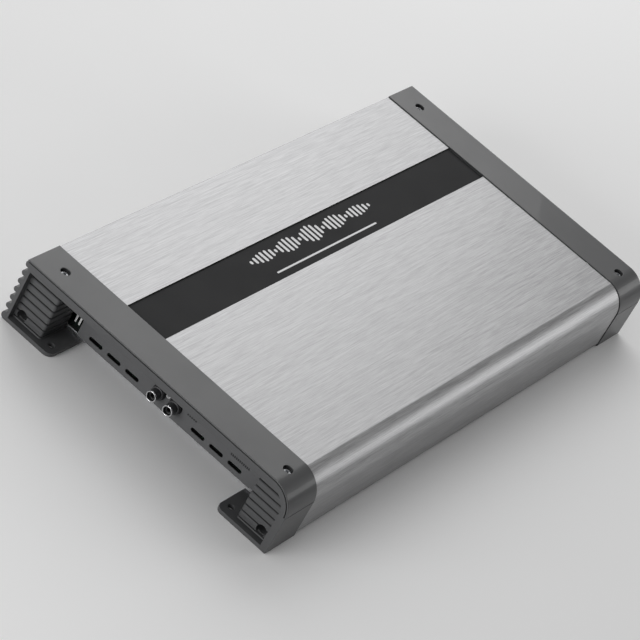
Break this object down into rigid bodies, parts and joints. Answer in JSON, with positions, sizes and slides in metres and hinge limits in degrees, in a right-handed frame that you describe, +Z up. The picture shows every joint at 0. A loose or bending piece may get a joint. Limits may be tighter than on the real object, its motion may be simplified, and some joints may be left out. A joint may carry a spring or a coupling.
{
  "type": "car amplifier",
  "caption": "Low rectangular car audio power amplifier: a brushed heat-sink body with a black inlay, between two dark cast end frames on drilled feet.",
  "frame": {"origin": "on the support plane, under the middle of the amplifier", "axes": "+X from the signal end to the power end, +Y towards the ribbed side, +Z up"},
  "size_m": [0.48, 0.246, 0.0525],
  "materials": {
    "brushed_aluminium": "brushed lengthways, clear anodised",
    "frame_paint": "satin graphite paint on a casting",
    "cover_paint": "satin graphite paint on sheet metal",
    "panel_paint": "fine matt graphite powder coat",
    "stripe_black": "matt black",
    "silver_print": "silver print",
    "plated_steel": "zinc plated sheet and bar",
    "screw_steel": "bright plated steel",
    "nickel": "bright nickel plating",
    "plated_brass": "plated brass",
    "black_moulding": "black moulded plastic",
    "knob_black": "black knob plastic",
    "status_lens": "blue tinted clear plastic",
    "fuse_amber": "translucent amber plastic",
    "circuit_board": "green solder mask on glass fibre",
    "enamelled_copper": "enamelled copper wire",
    "capacitor_sleeve": "shrunk plastic sleeve"
  },
  "bodies": {
    "amplifier": {"heatsink_body": "brushed_aluminium", "stripe_inlay": "stripe_black", "stripe_motif": "silver_print", "stripe_rule": "silver_print", "bottom_cover": "plated_steel", "bottom_screw_1": "screw_steel", "bottom_screw_2": "screw_steel", "bottom_screw_3": "screw_steel", "bottom_screw_4": "screw_steel", "input_end_frame": "frame_paint", "output_end_frame": "frame_paint", "input_end_cover": "cover_paint", "output_end_cover": "cover_paint", "input_cover_screw_left": "screw_steel", "input_cover_screw_right": "screw_steel", "output_cover_screw_left": "screw_steel", "output_cover_screw_right": "screw_steel", "input_end_screw_left": "screw_steel", "input_end_screw_right": "screw_steel", "output_end_screw_left": "screw_steel", "output_end_screw_right": "screw_steel", "input_panel": "panel_paint", "output_panel": "panel_paint", "socket_block": "black_moulding", "socket_shell_left": "nickel", "socket_shell_right": "nickel", "socket_core_left": "black_moulding", "socket_core_right": "black_moulding", "socket_screw": "screw_steel", "control_board": "circuit_board", "status_light": "status_lens", "power_terminal_block": "black_moulding", "speaker_terminal_block": "black_moulding", "fuse_holder": "black_moulding", "main_board": "circuit_board", "supply_transformer": "enamelled_copper", "output_choke": "enamelled_copper", "reservoir_capacitor_1": "capacitor_sleeve", "reservoir_capacitor_2": "capacitor_sleeve", "reservoir_capacitor_3": "capacitor_sleeve", "transistor_left_1": "black_moulding", "transistor_left_2": "black_moulding", "transistor_right_1": "black_moulding", "transistor_right_2": "black_moulding", "clamp_bar_left": "plated_steel", "clamp_bar_right": "plated_steel"},
    "gain_knob": {"gain_knob": "knob_black"},
    "low_pass_knob": {"low_pass_knob": "knob_black"},
    "bass_boost_knob": {"bass_boost_knob": "knob_black"},
    "filter_switch": {"filter_switch": "knob_black"},
    "fuse_left": {"fuse_left": "fuse_amber"},
    "fuse_right": {"fuse_right": "fuse_amber"},
    "power_clamp_screw_1": {"power_clamp_screw_1": "plated_brass"},
    "power_clamp_screw_2": {"power_clamp_screw_2": "plated_brass"},
    "power_clamp_screw_3": {"power_clamp_screw_3": "plated_brass"},
    "speaker_clamp_screw_1": {"speaker_clamp_screw_1": "plated_brass"},
    "speaker_clamp_screw_2": {"speaker_clamp_screw_2": "plated_brass"},
    "speaker_clamp_screw_3": {"speaker_clamp_screw_3": "plated_brass"},
    "speaker_clamp_screw_4": {"speaker_clamp_screw_4": "plated_brass"}
  },
  "joints": [
    {"name": "gain_turn", "type": "hinge", "parent": "amplifier", "child": "gain_knob", "pos_m": [-0.24, -0.03, 0.036], "axis": [1, 0, 0], "range_deg": [-140, 140]},
    {"name": "low_pass_turn", "type": "hinge", "parent": "amplifier", "child": "low_pass_knob", "pos_m": [-0.24, -0.047, 0.036], "axis": [1, 0, 0], "range_deg": [-140, 140]},
    {"name": "bass_boost_turn", "type": "hinge", "parent": "amplifier", "child": "bass_boost_knob", "pos_m": [-0.24, -0.064, 0.036], "axis": [1, 0, 0], "range_deg": [-140, 140]},
    {"name": "filter_slide", "type": "slide", "parent": "amplifier", "child": "filter_switch", "axis": [0, 1, 0], "range_m": [-0.002, 0.002]},
    {"name": "fuse_left_pull", "type": "slide", "parent": "amplifier", "child": "fuse_left", "axis": [1, 0, 0], "range_m": [0, 0.014]},
    {"name": "fuse_right_pull", "type": "slide", "parent": "amplifier", "child": "fuse_right", "axis": [1, 0, 0], "range_m": [0, 0.014]},
    {"name": "power_clamp_1", "type": "slide", "parent": "amplifier", "child": "power_clamp_screw_1", "axis": [0, 0, -1], "range_m": [0, 0.006]},
    {"name": "power_clamp_2", "type": "slide", "parent": "amplifier", "child": "power_clamp_screw_2", "axis": [0, 0, -1], "range_m": [0, 0.006]},
    {"name": "power_clamp_3", "type": "slide", "parent": "amplifier", "child": "power_clamp_screw_3", "axis": [0, 0, -1], "range_m": [0, 0.006]},
    {"name": "speaker_clamp_1", "type": "slide", "parent": "amplifier", "child": "speaker_clamp_screw_1", "axis": [0, 0, -1], "range_m": [0, 0.005]},
    {"name": "speaker_clamp_2", "type": "slide", "parent": "amplifier", "child": "speaker_clamp_screw_2", "axis": [0, 0, -1], "range_m": [0, 0.005]},
    {"name": "speaker_clamp_3", "type": "slide", "parent": "amplifier", "child": "speaker_clamp_screw_3", "axis": [0, 0, -1], "range_m": [0, 0.005]},
    {"name": "speaker_clamp_4", "type": "slide", "parent": "amplifier", "child": "speaker_clamp_screw_4", "axis": [0, 0, -1], "range_m": [0, 0.005]}
  ]
}
